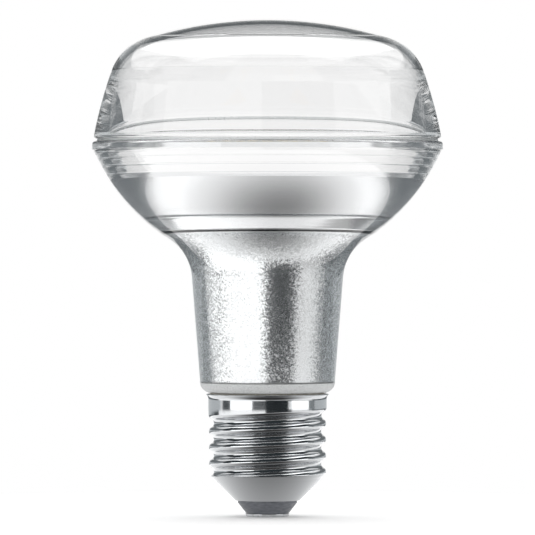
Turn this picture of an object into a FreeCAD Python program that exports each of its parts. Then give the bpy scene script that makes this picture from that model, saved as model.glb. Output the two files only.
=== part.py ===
import FreeCAD, Part

import math
import os

# LED reflector bulb with a pressed glass body and a screw cap.
# Millimetres and degrees. The origin is the middle of the base contact's lower face,
# and +Z runs up the lamp's axis from the contact to the top of the dome.

# Dome lens
lens_height = 27.0
crown_radius = 93.2
shoulder_radius = 12.4
side_radius = 100.0
side_lean = 10.9
lens_foot_radius = 39.1
foot_rounding = 0.7
crown_thickness = 2.4
inner_crown_radius = 88.0
inner_shoulder_radius = 9.5
lens_foot_wall = 3.2
lens_draft = 4.5
bore_rounding = 0.4

# Bowl and neck, one glass pressing
seal_gap = 0.5
flange_ledge = 0.4
flange_height = 1.95
flange_rounding = 0.7
flange_step = 0.3
flange_edge_rounding = 0.2
bowl_radius = 44.0
bowl_lean = 22.95
bowl_wall = 2.5
neck_base_radius = 15.25
neck_base_z = 31.0
neck_taper = 4.5
neck_wall = 1.7
neck_fillet = 11.3
inner_fillet = 13.4
heel_z = 27.9
heel_rounding = 2.4
stub_radius = 12.15
stub_wall = 1.2
stub_end_z = 23.75
edge_rounding = 0.3

# Moulded steps inside the bowl
seat_depth = 19.1
ring_radius = 23.6
ring_height = 3.4
ring_flare = 2.0
step_rounding = 0.35

# Screw cap, E27 form
collar_radius = 13.35
flare_out = 0.4
flare_height = 1.0
cap_top_z = 27.55
sheet = 0.35
thread_major_radius = 13.2
thread_root_radius = 12.1
thread_pitch = 3.629
thread_crest_z = 21.0
thread_start_angle = 10.0
thread_start_sweep = 75.0
thread_blend = 0.12
sections_per_turn = 9
points_per_turn = 24
thread_top_z = 25.2
thread_end_z = 8.2
cone_top_z = 8.4
cone_bottom_z = 3.7
cone_bottom_radius = 7.35
cement_clearance = 0.05
cement_bottom_z = 25.3

# Insulator and base contact
insulator_top_z = 8.8
insulator_foot_radius = 4.75
insulator_collar_radius = 6.7
insulator_collar_z = 3.15
insulator_web = 2.2
insulator_rim = 1.3
insulator_clearance = 0.08
contact_radius = 4.9
contact_thickness = 0.7
contact_rounding = 0.3
stem_radius = 1.5
stem_bore_radius = 0.75
stem_top_z = 6.0

# Heat spreader, thermal pad and LED board
spreader_thickness = 1.0
spreader_clearance = 0.15
skirt_radius = 12.6
skirt_wall = 1.0
skirt_length = 17.0
skirt_bend = 1.2
pad_thickness = 0.3
board_radius = 20.6
board_thickness = 1.6
led_length = 3.5
led_width = 2.8
led_height = 0.75
window_length = 2.5
window_width = 1.9
window_depth = 0.35
led_ring_radii = [14.3, 7.6]
led_ring_counts = [12, 6]
screw_circle = 18.2
screw_count = 3
screw_first_angle = 30.0
screw_head_radius = 2.1
screw_head_height = 1.3
screw_radius = 1.2
screw_length = 3.6
screw_clearance = 0.2
recess_width = 0.5
recess_span = 2.3
recess_depth = 0.7
header_length = 6.0
header_width = 3.4
header_height = 2.6
pin_side = 0.64
pin_pitch = 2.54
pin_top_margin = 0.5
pin_hole_side = 1.0
pin_window_margin = 1.6
pin_overlap = 4.5

# Driver housing
housing_radius = 10.5
housing_wall = 1.0
housing_floor = 1.2
housing_flange_radius = 11.5
housing_flange_height = 2.4
wire_hole_radius = 1.1
rib_thickness = 1.0
rib_depth = 1.5
rib_clearance = 0.1
rib_bottom_z = 18.0
rib_end = 2.0

# Driver board and what is soldered to it
driver_half_width = 8.8
driver_thickness = 1.2
driver_offset = 2.5
driver_bottom_z = 12.0
driver_length = 48.0
driver_head = 5.4
lead_radius = 0.3
lead_reach = 1.6
fuse_radius = 1.6
fuse_length = 7.5
fuse_z = 19.5
film_size = (10.0, 6.0, 4.5)
film_z = 22.5
can_radius = 4.0
can_length = 14.0
can_z = 30.0
can_rounding = 0.6
can_groove = 0.35
can_groove_height = 2.2
can_lead_pitch = 3.5
core_size = (10.2, 5.0, 10.2)
core_z = 46.5
core_yoke = 1.4
core_leg_width = 2.8
core_stand = 2.0
bobbin_flange = 7.2
bobbin_wall = 0.5
winding_radius = 3.5
bridge_size = (4.7, 1.8, 3.9)
bridge_z = 19.0
chip_size = (3.9, 1.5, 4.9)
chip_z = 33.0
chip_leads = 4
chip_lead = 0.4
chip_lead_pitch = 1.27
chip_lead_reach = 1.0
diode_size = (2.6, 2.1, 4.3)
diode_z = 46.0
resistor_size = (1.25, 0.5, 2.0)
resistor_column = 4.0
resistor_rows = [26.0, 29.0, 41.0]

# Connecting wires
wire_radius = 0.4
wire_gap = 0.2
wire_pad_x = 3.0
wire_pad_length = 4.0
shell_wire_z = 14.5
wire_slot_margin = 0.7
wire_slot_height = 1.4
arc_share = 0.45

# How far a cutting tool reaches past what it cuts
overshoot = 1.0

X = FreeCAD.Vector(1, 0, 0)
Z = FreeCAD.Vector(0, 0, 1)
ORIGIN = FreeCAD.Vector(0, 0, 0)


def unit(angle):
    """The direction at an angle above +r in the (r, z) half plane."""
    turn = math.radians(angle)
    return (math.cos(turn), math.sin(turn))


def moved(point, direction, distance):
    return (point[0] + direction[0] * distance, point[1] + direction[1] * distance)


def towards(start, end, distance):
    """The point that lies a distance from start on the way to end."""
    length = math.dist(start, end)
    share = distance / length
    return (start[0] + (end[0] - start[0]) * share, start[1] + (end[1] - start[1]) * share)


def circle_meet(centre_a, radius_a, centre_b, radius_b):
    """Where two circles meet, the point with the larger r."""
    gap = math.dist(centre_a, centre_b)
    along = (radius_a**2 - radius_b**2 + gap**2) / (2 * gap)
    aside = math.sqrt(radius_a**2 - along**2)
    foot = towards(centre_a, centre_b, along)
    side = ((centre_b[1] - centre_a[1]) / gap, -(centre_b[0] - centre_a[0]) / gap)
    found = [moved(foot, side, aside), moved(foot, side, -aside)]
    return max(found)


def line_meet(point, direction, centre, radius):
    """Where a line leaves a circle, in the line's own direction."""
    to_point = (point[0] - centre[0], point[1] - centre[1])
    along = to_point[0] * direction[0] + to_point[1] * direction[1]
    apart = to_point[0] ** 2 + to_point[1] ** 2 - radius**2
    return moved(point, direction, -along + math.sqrt(along**2 - apart))


def line_enter(point, direction, centre, radius):
    """Where a line first meets a circle, in the line's own direction."""
    to_point = (point[0] - centre[0], point[1] - centre[1])
    along = to_point[0] * direction[0] + to_point[1] * direction[1]
    apart = to_point[0] ** 2 + to_point[1] ** 2 - radius**2
    return moved(point, direction, -along - math.sqrt(along**2 - apart))


def r_on_circle(centre, radius, z):
    """The larger r of a circle at height z."""
    return centre[0] + math.sqrt(radius**2 - (z - centre[1]) ** 2)


class Outline:
    """A closed outline in the (r, z) half plane, drawn edge by edge."""

    def __init__(self, r, z):
        self.start = (r, z)
        self.here = (r, z)
        self.edges = []

    def line(self, r, z):
        ends = [FreeCAD.Vector(self.here[0], 0, self.here[1]), FreeCAD.Vector(r, 0, z)]
        self.edges.append(Part.LineSegment(*ends).toShape())
        self.here = (r, z)
        return self

    def arc(self, centre, r, z):
        """The shorter arc about a centre, to the point (r, z)."""
        radius = math.dist(centre, self.here)
        middle = ((self.here[0] + r) / 2, (self.here[1] + z) / 2)
        middle = towards(centre, middle, radius)
        points = [FreeCAD.Vector(p[0], 0, p[1]) for p in (self.here, middle, (r, z))]
        self.edges.append(Part.Arc(*points).toShape())
        self.here = (r, z)
        return self

    def through(self, bulge, r, z):
        """The arc to (r, z) that passes through a point on the way."""
        points = [FreeCAD.Vector(p[0], 0, p[1]) for p in (self.here, bulge, (r, z))]
        self.edges.append(Part.Arc(*points).toShape())
        self.here = (r, z)
        return self

    def turned(self):
        """The solid that the closed outline sweeps round the axis."""
        if math.dist(self.here, self.start) > 1e-6:
            self.line(*self.start)
        face = Part.Face(Part.Wire(self.edges))
        return face.revolve(ORIGIN, Z, 360)


def cylinder(radius, bottom, top, x=0.0, y=0.0):
    return Part.makeCylinder(radius, top - bottom, FreeCAD.Vector(x, y, bottom), Z)


def block(low, high):
    size = [b - a for a, b in zip(low, high)]
    return Part.makeBox(*size, FreeCAD.Vector(*low))


def rounded(shape, radius, wanted):
    """Rounds the edges whose middle (r, z) passes a test."""
    chosen = []
    for edge in shape.Edges:
        middle = edge.valueAt((edge.FirstParameter + edge.LastParameter) / 2)
        if wanted(math.hypot(middle.x, middle.y), middle.z):
            chosen.append(edge)
    return shape.makeFillet(radius, chosen)


def ring_places(radius, count, first_angle=0.0):
    """Evenly spaced places round the axis, each as x, y and its angle."""
    for number in range(count):
        angle = first_angle + 360 * number / count
        turn = math.radians(angle)
        yield radius * math.cos(turn), radius * math.sin(turn), angle


def routed_tube(points, radius):
    """A tube along straight runs joined by arcs, each as large as its runs allow."""
    route = [FreeCAD.Vector(*p) for p in points]
    edges = []
    here = route[0]
    for before, corner, after in zip(route, route[1:], route[2:]):
        back = (before - corner).normalize()
        onward = (after - corner).normalize()
        cut = arc_share * min((before - corner).Length, (after - corner).Length)
        half_turn = (math.pi - back.getAngle(onward)) / 2
        arc_radius = cut / math.tan(half_turn)
        enter = corner + back * cut
        leave = corner + onward * cut
        inward = (back + onward).normalize()
        to_centre = arc_radius / math.cos(half_turn)
        middle = corner + inward * (to_centre - arc_radius)
        edges.append(Part.LineSegment(here, enter).toShape())
        edges.append(Part.Arc(enter, middle, leave).toShape())
        here = leave
        print("wire arc radius", round(arc_radius, 2))
    edges.append(Part.LineSegment(here, route[-1]).toShape())
    path = Part.Wire(edges)
    section = Part.Wire(Part.makeCircle(radius, route[0], route[1] - route[0]))
    return path.makePipeShell([section], True, False)


# Points that several pieces share; the glass is as tall as the driver inside it needs
driver_top_z = driver_bottom_z + driver_length
seat_z = driver_top_z + driver_head
land_z = seat_z + seat_depth
lens_foot_z = land_z + seal_gap
overall_length = lens_foot_z + lens_height
lens_bore_radius = lens_foot_radius - lens_foot_wall
flange_radius = lens_foot_radius + flange_ledge
bowl_top = (flange_radius - flange_step, land_z - flange_height)
bowl_normal = unit(-bowl_lean)
bowl_centre = moved(bowl_top, bowl_normal, -bowl_radius)
neck_rise = unit(90 - neck_taper)
neck_out = unit(-neck_taper)
neck_base = (neck_base_radius, neck_base_z)
inner_neck_base = moved(neck_base, neck_out, -neck_wall)
inner_bowl_radius = bowl_radius - bowl_wall
stub_bore = stub_radius - stub_wall
ring_top_z = seat_z + ring_height
collar_bore = collar_radius - sheet
root_bore = thread_root_radius - sheet
cone_slope = (thread_root_radius - cone_bottom_radius) / (cone_top_z - cone_bottom_z)
flare_radius = (flare_height**2 + flare_out**2) / (2 * flare_out)
flare_start_z = cap_top_z - sheet / 2 - flare_height
flare_centre = (collar_radius + flare_radius, flare_start_z)
flare_edge = (collar_radius + flare_out, flare_start_z + flare_height)
flare_lean = math.degrees(math.asin(flare_height / flare_radius))
rim_end = towards(flare_centre, flare_edge, flare_radius + sheet)
rim_middle = towards(flare_centre, flare_edge, flare_radius + sheet / 2)
rim_tip = moved(rim_middle, unit(90 - flare_lean), sheet / 2)
cone_lean = math.degrees(math.atan(cone_slope))
cone_bottom = (cone_bottom_radius, cone_bottom_z)
lip_end = moved(cone_bottom, unit(-cone_lean), -sheet)
lip_middle = moved(cone_bottom, unit(-cone_lean), -sheet / 2)
lip_tip = moved(lip_middle, unit(-90 - cone_lean), sheet / 2)
thread_end_radius = thread_root_radius + (thread_end_z - cone_top_z) * cone_slope
board_z = seat_z + spreader_thickness + pad_thickness
board_top_z = board_z + board_thickness
driver_face = -driver_offset + driver_thickness / 2
driver_back = -driver_offset - driver_thickness / 2
housing_bore = housing_radius - housing_wall
rib_top_z = driver_top_z - rib_end
pin_line = driver_face + pin_side / 2
wire_line = driver_face + wire_radius


def front_lens():
    """Pressed clear dome: a shallow crown, a round shoulder and a wall that thickens to its foot."""
    lean = unit(side_lean)
    foot_edge_z = lens_foot_z + foot_rounding * (1 + lean[1])
    foot_edge = (lens_foot_radius, foot_edge_z)
    foot_centre = moved(foot_edge, lean, -foot_rounding)
    side_centre = moved(foot_edge, lean, -side_radius)
    crown_centre = (0, overall_length - crown_radius)
    shoulder = circle_meet(
        crown_centre, crown_radius - shoulder_radius, side_centre, side_radius - shoulder_radius
    )
    crown_end = towards(crown_centre, shoulder, crown_radius)
    side_start = towards(side_centre, shoulder, side_radius)

    inner_apex_z = overall_length - crown_thickness
    inner_centre = (0, inner_apex_z - inner_crown_radius)
    bore_foot = (lens_bore_radius, lens_foot_z + bore_rounding)
    bore_rise = unit(90 + lens_draft)
    bore_inward = unit(180 + lens_draft)
    rail = moved(bore_foot, bore_inward, inner_shoulder_radius)
    inner_shoulder = line_meet(
        rail, bore_rise, inner_centre, inner_crown_radius - inner_shoulder_radius
    )
    bore_top = moved(inner_shoulder, bore_inward, -inner_shoulder_radius)
    inner_crown_end = towards(inner_centre, inner_shoulder, inner_crown_radius)
    bore_corner = moved(bore_foot, bore_inward, -bore_rounding)

    outline = Outline(0, overall_length)
    outline.arc(crown_centre, *crown_end)
    outline.arc(shoulder, *side_start)
    outline.arc(side_centre, *foot_edge)
    outline.arc(foot_centre, foot_centre[0], lens_foot_z)
    outline.line(bore_corner[0], lens_foot_z)
    outline.arc((bore_corner[0], lens_foot_z + bore_rounding), *bore_foot)
    outline.line(*bore_top)
    outline.arc(inner_shoulder, *inner_crown_end)
    outline.arc(inner_centre, 0, inner_apex_z)
    return outline.turned()


def lens_seal():
    """Clear silicone bead that bonds the lens to the bowl, in the groove between them."""
    outside = lens_foot_radius - foot_rounding
    inside = r_on_circle(bowl_centre, inner_bowl_radius, land_z) + edge_rounding
    outline = Outline(inside, land_z)
    outline.line(outside, land_z)
    outline.line(outside, lens_foot_z)
    outline.line(inside, lens_foot_z)
    return outline.turned()


def glass_body():
    """Bowl, neck and the stub that enters the cap, pressed as one, with moulded steps inside."""
    fillet_rail = moved(neck_base, neck_out, neck_fillet)
    fillet = line_enter(fillet_rail, neck_rise, bowl_centre, bowl_radius + neck_fillet)
    bowl_end = towards(bowl_centre, fillet, bowl_radius)
    neck_end = moved(fillet, neck_out, -neck_fillet)
    heel_rail = moved(neck_base, neck_out, -heel_rounding)
    heel_drop = (heel_z + heel_rounding - heel_rail[1]) / neck_rise[1]
    heel_centre = moved(heel_rail, neck_rise, heel_drop)
    heel_start = moved(heel_centre, neck_out, heel_rounding)

    inner_rail = moved(inner_neck_base, neck_out, inner_fillet)
    inner_fillet_centre = line_enter(
        inner_rail, neck_rise, bowl_centre, inner_bowl_radius + inner_fillet
    )
    inner_bowl_end = towards(bowl_centre, inner_fillet_centre, inner_bowl_radius)
    inner_neck_end = moved(inner_fillet_centre, neck_out, -inner_fillet)
    inner_heel_z = heel_z + neck_wall
    inner_heel_rail = moved(inner_neck_base, neck_out, -edge_rounding)
    drop = (inner_heel_z + edge_rounding - inner_heel_rail[1]) / neck_rise[1]
    inner_heel_centre = moved(inner_heel_rail, neck_rise, drop)
    inner_heel_start = moved(inner_heel_centre, neck_out, edge_rounding)

    outline = Outline(flange_radius, land_z - flange_rounding)
    outline.line(flange_radius, bowl_top[1])
    outline.line(*bowl_top)
    outline.arc(bowl_centre, *bowl_end)
    outline.arc(fillet, *neck_end)
    outline.line(*heel_start)
    outline.arc(heel_centre, heel_centre[0], heel_z)
    outline.line(stub_radius, heel_z)
    outline.line(stub_radius, stub_end_z)
    outline.line(stub_bore, stub_end_z)
    outline.line(stub_bore, inner_heel_z)
    outline.line(inner_heel_centre[0], inner_heel_z)
    outline.arc(inner_heel_centre, *inner_heel_start)
    outline.line(*inner_neck_end)
    outline.arc(inner_fillet_centre, *inner_bowl_end)
    outline.arc(bowl_centre, r_on_circle(bowl_centre, inner_bowl_radius, seat_z), seat_z)
    outline.line(ring_radius, seat_z)
    outline.line(ring_radius + ring_flare, ring_top_z)
    outline.line(r_on_circle(bowl_centre, inner_bowl_radius, ring_top_z), ring_top_z)
    outline.arc(bowl_centre, r_on_circle(bowl_centre, inner_bowl_radius, land_z), land_z)
    outline.line(flange_radius - flange_rounding, land_z)
    outline.arc((flange_radius - flange_rounding, land_z - flange_rounding), *outline.start)
    glass = outline.turned()
    glass = rounded(
        glass,
        step_rounding,
        lambda r, z: abs(r - ring_radius - ring_flare) < 0.01 and abs(z - ring_top_z) < 0.01,
    )
    glass = rounded(
        glass,
        flange_edge_rounding,
        lambda r, z: abs(r - flange_radius) < 0.01 and abs(z - bowl_top[1]) < 0.01,
    )
    return rounded(
        glass,
        edge_rounding,
        lambda r, z: abs(z - stub_end_z) < 0.01
        or (abs(r - stub_bore) < 0.01 and abs(z - inner_heel_z) < 0.01),
    )


def cap_cement():
    """Ring of baked cement that holds the glass stub in the cap's collar."""
    bore = collar_bore - cement_clearance
    outline = Outline(stub_radius, cement_bottom_z)
    outline.line(bore, cement_bottom_z)
    outline.line(bore, cap_top_z)
    outline.line(bore - (heel_z - cap_top_z), heel_z)
    outline.line(stub_radius, heel_z)
    return outline.turned()


def knuckle(phase):
    """Radius of the rolled thread, from 0 at a crest to 0.5 at a root, in equal arcs."""
    depth = thread_major_radius - thread_root_radius
    half_pitch = thread_pitch / 2
    arc_radius = (half_pitch**2 + depth**2) / (4 * depth)
    along = abs(phase) * thread_pitch
    if along < half_pitch / 2:
        return thread_major_radius - arc_radius + math.sqrt(arc_radius**2 - along**2)
    back = half_pitch - along
    return thread_root_radius + arc_radius - math.sqrt(arc_radius**2 - back**2)


def soft_min(a, b):
    """The smaller of two radii, with the corner between them rounded."""
    return (a + b - math.sqrt((a - b) ** 2 + thread_blend**2)) / 2


def smooth(share):
    """Eases from 0 to 1 as share goes from 0 to 1."""
    held = min(max(share, 0.0), 1.0)
    return held * held * (3 - 2 * held)


def thread_radius(angle, z):
    """Outside radius of the cap at an angle and height: collar above, thread, cone below."""
    turns = (z - thread_crest_z) / thread_pitch - angle / 360
    root = knuckle(turns - round(turns))
    # Degrees along the helix to the nearest root, which fades into the collar at its start
    along = 360 * (math.floor(turns) + 0.5) + angle
    fade = smooth((along - 180 - thread_start_angle) / thread_start_sweep)
    radius = root + (thread_major_radius - root) * fade
    radius += (collar_radius - thread_major_radius) * smooth((z - thread_crest_z) / thread_pitch)
    cone = thread_root_radius + (z - cone_top_z) * cone_slope
    return soft_min(radius, cone)


def thread_section(z, inset):
    """One closed curve of the thread at a height, or of its inside at an inset."""
    knots = list(range(points_per_turn + 1))
    points = []
    for number in range(points_per_turn):
        angle = 360 * number / points_per_turn
        radius = thread_radius(angle, z) - inset
        turn = math.radians(angle)
        points.append(FreeCAD.Vector(radius * math.cos(turn), radius * math.sin(turn), z))
    curve = Part.BSplineCurve()
    curve.interpolate(Points=points, PeriodicFlag=True, Parameters=knots)
    return Part.Wire(curve.toShape())


def thread_core(inset):
    """The rolled thread as a full body between two plain circles, at an inset."""
    span = thread_top_z - thread_end_z
    count = round(span / thread_pitch * sections_per_turn)
    top = FreeCAD.Vector(0, 0, thread_top_z)
    end = FreeCAD.Vector(0, 0, thread_end_z)
    sections = [Part.Wire(Part.makeCircle(collar_radius - inset, top))]
    for number in range(1, count):
        sections.append(thread_section(thread_top_z - span * number / count, inset))
    end_radius = thread_end_radius - inset / unit(cone_lean)[0]
    sections.append(Part.Wire(Part.makeCircle(end_radius, end)))
    return Part.makeLoft(sections, True, True)


def cap_shell():
    """Nickel-plated sheet drawn and rolled in one: flared collar, thread, cone and turned lip."""
    thread = thread_core(0.0).cut(thread_core(sheet))

    collar = Outline(collar_radius, thread_top_z)
    collar.line(collar_radius, flare_start_z)
    collar.arc(flare_centre, *flare_edge)
    collar.through(rim_tip, *rim_end)
    collar.arc(flare_centre, collar_bore, flare_start_z)
    collar.line(collar_bore, thread_top_z)

    cone = Outline(thread_end_radius, thread_end_z)
    cone.line(*cone_bottom)
    cone.through(lip_tip, *lip_end)
    cone.line(thread_end_radius - sheet / unit(cone_lean)[0], thread_end_z)
    return thread.fuse([collar.turned(), cone.turned()])


def cap_insulator():
    """Moulded cup that fills the shell's cone and keeps the base contact apart from it."""
    inside = moved(lip_end, unit(-cone_lean), -insulator_clearance)
    top_radius = root_bore - insulator_clearance - edge_rounding
    reach = (top_radius - inside[0]) / cone_slope
    floor_z = contact_thickness + insulator_web
    bore_radius = insulator_collar_radius - insulator_rim
    recess_radius = top_radius - insulator_rim

    outline = Outline(stem_radius, contact_thickness)
    outline.line(insulator_foot_radius, contact_thickness)
    outline.line(insulator_collar_radius, insulator_collar_z)
    outline.line(insulator_collar_radius, inside[1])
    outline.line(*inside)
    outline.line(top_radius, inside[1] + reach)
    outline.line(top_radius, insulator_top_z)
    outline.line(recess_radius, insulator_top_z)
    outline.line(bore_radius, insulator_top_z - (recess_radius - bore_radius) / cone_slope)
    outline.line(bore_radius, floor_z)
    outline.line(stem_radius, floor_z)
    return outline.turned()


def centre_contact():
    """Turned contact: a flat disc with a hollow stem that takes the wire."""
    corner = contact_radius - contact_rounding
    outline = Outline(0, 0)
    outline.line(corner, 0)
    outline.arc((corner, contact_rounding), contact_radius, contact_rounding)
    outline.line(contact_radius, contact_thickness)
    outline.line(stem_radius, contact_thickness)
    outline.line(stem_radius, stem_top_z)
    outline.line(stem_bore_radius, stem_top_z)
    outline.line(stem_bore_radius, contact_thickness)
    outline.line(0, contact_thickness)
    return outline.turned()


def screw_places():
    return ring_places(screw_circle, screw_count, screw_first_angle)


def pin_window(bottom, top):
    """The rectangular opening through which both header pins pass."""
    half_x = pin_pitch / 2 + pin_window_margin
    return block(
        (-half_x, pin_line - pin_window_margin, bottom),
        (half_x, pin_line + pin_window_margin, top),
    )


def pin_blocks(side, bottom, top):
    """Two upright square bars on the header's pitch."""
    bars = []
    for x in (-pin_pitch / 2, pin_pitch / 2):
        low = (x - side / 2, pin_line - side / 2, bottom)
        high = (x + side / 2, pin_line + side / 2, top)
        bars.append(block(low, high))
    return bars


def heat_spreader():
    """Drawn aluminium cup: a flat disc on the glass seat and a skirt down into the neck."""
    disc_radius = ring_radius - spreader_clearance
    skirt_bore = skirt_radius - skirt_wall
    outline = Outline(0, seat_z + spreader_thickness)
    outline.line(disc_radius, seat_z + spreader_thickness)
    outline.line(disc_radius, seat_z)
    outline.line(skirt_radius + skirt_bend, seat_z)
    bend_centre = (skirt_radius + skirt_bend, seat_z - skirt_bend)
    outline.arc(bend_centre, skirt_radius, seat_z - skirt_bend)
    outline.line(skirt_radius, seat_z - skirt_length)
    outline.line(skirt_bore, seat_z - skirt_length)
    outline.line(skirt_bore, seat_z)
    outline.line(0, seat_z)
    tools = [pin_window(seat_z - overshoot, board_z)]
    for x, y, angle in screw_places():
        tools.append(cylinder(screw_radius, seat_z - overshoot, board_z, x, y))
    return outline.turned().cut(tools)


def thermal_pad():
    """Soft grey sheet between the spreader and the LED board."""
    bottom = board_z - pad_thickness
    low, high = bottom - overshoot, board_z + overshoot
    tools = [pin_window(low, high)]
    for x, y, angle in screw_places():
        tools.append(cylinder(screw_radius + screw_clearance, low, high, x, y))
    return cylinder(board_radius, bottom, board_z).cut(tools)


def led_board():
    """White aluminium-core board with two pin holes and three screw holes."""
    low, high = board_z - overshoot, board_top_z + overshoot
    tools = pin_blocks(pin_hole_side, low, high)
    for x, y, angle in screw_places():
        tools.append(cylinder(screw_radius + screw_clearance, low, high, x, y))
    return cylinder(board_radius, board_z, board_top_z).cut(tools)


def led_places():
    """Every LED's place on the board, as x, y and the angle that it faces."""
    for radius, count in zip(led_ring_radii, led_ring_counts):
        yield from ring_places(radius, count, 180 / count)


def led_block(length, width, bottom, top, place):
    """A block centred on an LED's place, its length across the radius."""
    x, y, angle = place
    shape = block((-width / 2, -length / 2, bottom), (width / 2, length / 2, top))
    shape.rotate(ORIGIN, Z, angle)
    shape.translate(FreeCAD.Vector(x, y, 0))
    return shape


def led_packages():
    """White surface-mount LED bodies, each with a rectangular well in its top."""
    top = board_top_z + led_height
    bodies = []
    for place in led_places():
        body = led_block(led_length, led_width, board_top_z, top, place)
        well = led_block(window_length, window_width, top - window_depth, top + overshoot, place)
        bodies.append(body.cut(well))
    return Part.Compound(bodies)


def led_phosphor():
    """Yellow phosphor gel that fills each LED's well."""
    top = board_top_z + led_height
    fills = []
    for place in led_places():
        fills.append(led_block(window_length, window_width, top - window_depth, top, place))
    return Part.Compound(fills)


def board_screws():
    """Pan-head screws that clamp the board to the spreader."""
    screws = []
    head_top = board_top_z + screw_head_height
    for x, y, angle in screw_places():
        head = cylinder(screw_head_radius, board_top_z, head_top, x, y)
        head = head.makeFillet(
            screw_head_height / 2, [e for e in head.Edges if abs(e.BoundBox.ZMin - head_top) < 0.01]
        )
        shank = cylinder(screw_radius, board_top_z - screw_length, board_top_z, x, y)
        slots = []
        for long_x, long_y in ((recess_span, recess_width), (recess_width, recess_span)):
            low = (x - long_x / 2, y - long_y / 2, head_top - recess_depth)
            slots.append(block(low, (x + long_x / 2, y + long_y / 2, head_top + overshoot)))
        screws.append(head.fuse(shank).cut(slots))
    return Part.Compound(screws)


def pin_header():
    """White block that steadies the two pins where they come through the LED board."""
    body = block(
        (-header_length / 2, pin_line - header_width / 2, board_top_z),
        (header_length / 2, pin_line + header_width / 2, board_top_z + header_height),
    )
    low, high = board_top_z - overshoot, board_top_z + header_height + overshoot
    return body.cut(pin_blocks(pin_side, low, high))


def header_pins():
    """Two square pins from the driver board up through the LED board."""
    top = board_top_z + header_height + pin_top_margin
    return Part.Compound(pin_blocks(pin_side, driver_top_z - pin_overlap, top))


def driver_housing():
    """Moulded tube that insulates the driver, with guide ribs and a flange under the spreader."""
    bottom = insulator_top_z
    inner_floor = bottom + housing_floor
    outline = Outline(0, bottom)
    outline.line(housing_radius, bottom)
    outline.line(housing_radius, seat_z - housing_flange_height)
    outline.line(housing_flange_radius, seat_z - housing_flange_height)
    outline.line(housing_flange_radius, seat_z)
    outline.line(housing_bore, seat_z)
    outline.line(housing_bore, inner_floor)
    outline.line(0, inner_floor)
    shell = outline.turned()

    rib_reach = math.sqrt(housing_bore**2 - driver_offset**2)
    ribs = []
    for side in (-1, 1):
        tip = side * (rib_reach - rib_depth)
        wall = side * (housing_bore + housing_wall / 2)
        low_x, high_x = min(tip, wall), max(tip, wall)
        front = driver_face + rib_clearance
        back = driver_back - rib_clearance
        ribs.append(block((low_x, front, rib_bottom_z), (high_x, front + rib_thickness, rib_top_z)))
        ribs.append(block((low_x, back - rib_thickness, rib_bottom_z), (high_x, back, rib_top_z)))
        ribs.append(block((low_x, driver_back, inner_floor), (high_x, driver_face, driver_bottom_z)))
    keep = cylinder(housing_bore + housing_wall / 2, bottom, rib_top_z + overshoot)
    shell = shell.fuse([rib.common(keep) for rib in ribs])

    wire_hole = cylinder(wire_hole_radius, bottom - overshoot, inner_floor + overshoot)
    slot = block(
        (0, wire_line - wire_slot_margin, shell_wire_z - wire_slot_margin),
        (housing_radius + overshoot, wire_line + wire_slot_margin, shell_wire_z + wire_slot_height),
    )
    slot = slot.cut(cylinder(housing_bore - rib_clearance, bottom, rib_bottom_z))
    return shell.cut([wire_hole, slot])


def driver_board():
    """Upright circuit board that slides between the housing's ribs."""
    return block(
        (-driver_half_width, driver_back, driver_bottom_z),
        (driver_half_width, driver_face, driver_top_z),
    )


def fuse_resistor():
    """Axial fusible resistor, its leads bent down to the board."""
    y = driver_face + fuse_radius
    end = fuse_length / 2
    body = Part.makeCylinder(fuse_radius, fuse_length, FreeCAD.Vector(-end, y, fuse_z), X)
    body = body.makeFillet(fuse_radius / 3, body.Edges[:1] + body.Edges[2:])
    leads = []
    for side in (-1, 1):
        route = [
            (side * (end - lead_radius), y, fuse_z),
            (side * (end + lead_reach), y, fuse_z),
            (side * (end + lead_reach), driver_face, fuse_z),
        ]
        leads.append(routed_tube(route, lead_radius))
    return body.fuse(leads)


def film_capacitor():
    """Boxed film capacitor that stands on the board."""
    half = film_size[0] / 2
    box = block(
        (-half, driver_face, film_z),
        (half, driver_face + film_size[1], film_z + film_size[2]),
    )
    outer = [e for e in box.Edges if e.BoundBox.YMin > driver_face + 0.01]
    return box.makeFillet(edge_rounding, outer)


def bulk_capacitor():
    """Electrolytic can with a rolled groove above its rubber plug, lying along the board."""
    top = can_z + can_length
    groove_z = can_z + can_groove_height
    outline = Outline(0, can_z)
    outline.line(can_radius - can_rounding, can_z)
    outline.arc((can_radius - can_rounding, can_z + can_rounding), can_radius, can_z + can_rounding)
    outline.line(can_radius, groove_z - can_groove)
    outline.line(can_radius - can_groove, groove_z)
    outline.line(can_radius, groove_z + can_groove)
    outline.line(can_radius, top - can_rounding)
    outline.arc((can_radius - can_rounding, top - can_rounding), can_radius - can_rounding, top)
    outline.line(0, top)
    can = outline.turned()
    y = driver_face + can_radius
    can.translate(FreeCAD.Vector(0, y, 0))
    leads = []
    for side in (-1, 1):
        x = side * can_lead_pitch / 2
        bend_z = can_z - lead_reach
        route = [(x, y, can_z + lead_radius), (x, y, bend_z), (x, driver_face, bend_z)]
        leads.append(routed_tube(route, lead_radius))
    return can.fuse(leads)


def coil_centre():
    return (0.0, driver_face + core_stand + core_size[1] / 2)


def core_leg(margin, bottom, top):
    """The core's middle leg, or the hole for it, grown by a margin."""
    y = coil_centre()[1]
    half_x = core_leg_width / 2 + margin
    half_y = core_size[1] / 2 + margin
    return block((-half_x, y - half_y, bottom), (half_x, y + half_y, top))


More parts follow.
